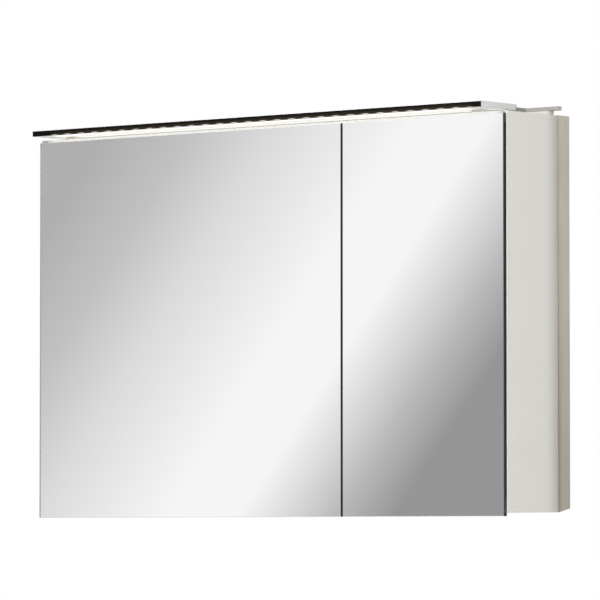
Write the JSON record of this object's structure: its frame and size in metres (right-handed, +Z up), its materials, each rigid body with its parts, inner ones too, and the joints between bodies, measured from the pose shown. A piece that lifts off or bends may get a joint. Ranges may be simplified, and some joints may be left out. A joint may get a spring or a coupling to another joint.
{
  "type": "lighted mirror cabinet",
  "caption": "Wall-hung bathroom mirror cabinet with a wide and a narrow mirrored door, glass shelves inside and a flat light bar over the front.",
  "frame": {"origin": "on the wall plane, midway between the two hanger slots", "axes": "+X along the width to the right as seen from the room, +Y into the wall, +Z up"},
  "size_m": [0.9, 0.2089, 0.603],
  "materials": {
    "white_board": "coated board, satin light grey-white",
    "back_board": "thin coated fibre board",
    "beige_board": "coated board, matt beige-grey",
    "rail_paint": "satin light grey paint",
    "bracket_paint": "satin olive-grey paint",
    "steel": "zinc-plated steel",
    "black_steel": "black painted steel",
    "plate_paint": "painted steel, white above the doors, black below",
    "mirror": "silvered glass with dark edges",
    "black_board": "black compact laminate",
    "shelf_glass": "clear toughened glass",
    "rubber": "black rubber",
    "clear_bumper": "clear soft pads",
    "lamp_aluminium": "satin anodised",
    "lamp_grey": "light grey moulding",
    "lamp_black": "gloss black",
    "opal": "opal white",
    "light_board": "white board",
    "led": "light-emitting chips",
    "grey_plastic": "grey moulding",
    "white_plastic": "white moulding"
  },
  "bodies": {
    "cabinet": {"back_panel": "back_board", "bottom_board": "white_board", "cable_gland": "rubber", "cover_rail": "rail_paint", "cover_rail_posts": "rail_paint", "door_bumpers": "clear_bumper", "door_magnets": "grey_plastic", "frame_bottom": "beige_board", "frame_left": "beige_board", "frame_right": "beige_board", "frame_top": "beige_board", "hanger_plates": "steel", "lamp_bracket_left": "bracket_paint", "lamp_bracket_right": "bracket_paint", "lamp_cap_left": "lamp_grey", "lamp_cap_right": "lamp_grey", "lamp_diffuser": "opal", "lamp_driver": "grey_plastic", "lamp_front_strip": "lamp_black", "lamp_housing": "lamp_aluminium", "lamp_leds": "led", "lamp_light_board": "light_board", "lamp_rests": "bracket_paint", "lamp_spacers": "rubber", "left_pivot_pins": "steel", "left_pivot_plates": "plate_paint", "left_shelf_1": "shelf_glass", "left_shelf_2": "shelf_glass", "partition": "white_board", "rail_riser": "white_board", "right_pivot_pins": "steel", "right_pivot_plates": "plate_paint", "right_shelf_1": "shelf_glass", "right_shelf_2": "shelf_glass", "shelf_pins": "steel", "side_left": "white_board", "side_right": "white_board", "switch_case": "white_plastic", "top_board": "white_board"},
    "left_door": {"left_mirror": "mirror", "left_carrier": "black_board", "left_pivot_shoes": "black_steel", "left_strike": "steel"},
    "right_door": {"right_mirror": "mirror", "right_carrier": "black_board", "right_pivot_shoes": "black_steel", "right_strike": "steel"},
    "rocker": {"switch_rocker": "white_plastic"}
  },
  "joints": [
    {"name": "left_door_swing", "type": "hinge", "parent": "cabinet", "child": "left_door", "pos_m": [-0.4478, -0.1689, 0], "axis": [0, 0, -1], "range_deg": [0, 105]},
    {"name": "right_door_swing", "type": "hinge", "parent": "cabinet", "child": "right_door", "pos_m": [0.4478, -0.1689, 0], "axis": [0, 0, 1], "range_deg": [0, 105]},
    {"name": "switch_rock", "type": "hinge", "parent": "cabinet", "child": "rocker", "pos_m": [0.177, -0.1215, -0.456], "axis": [0, 1, 0], "range_deg": [0, 14]}
  ]
}
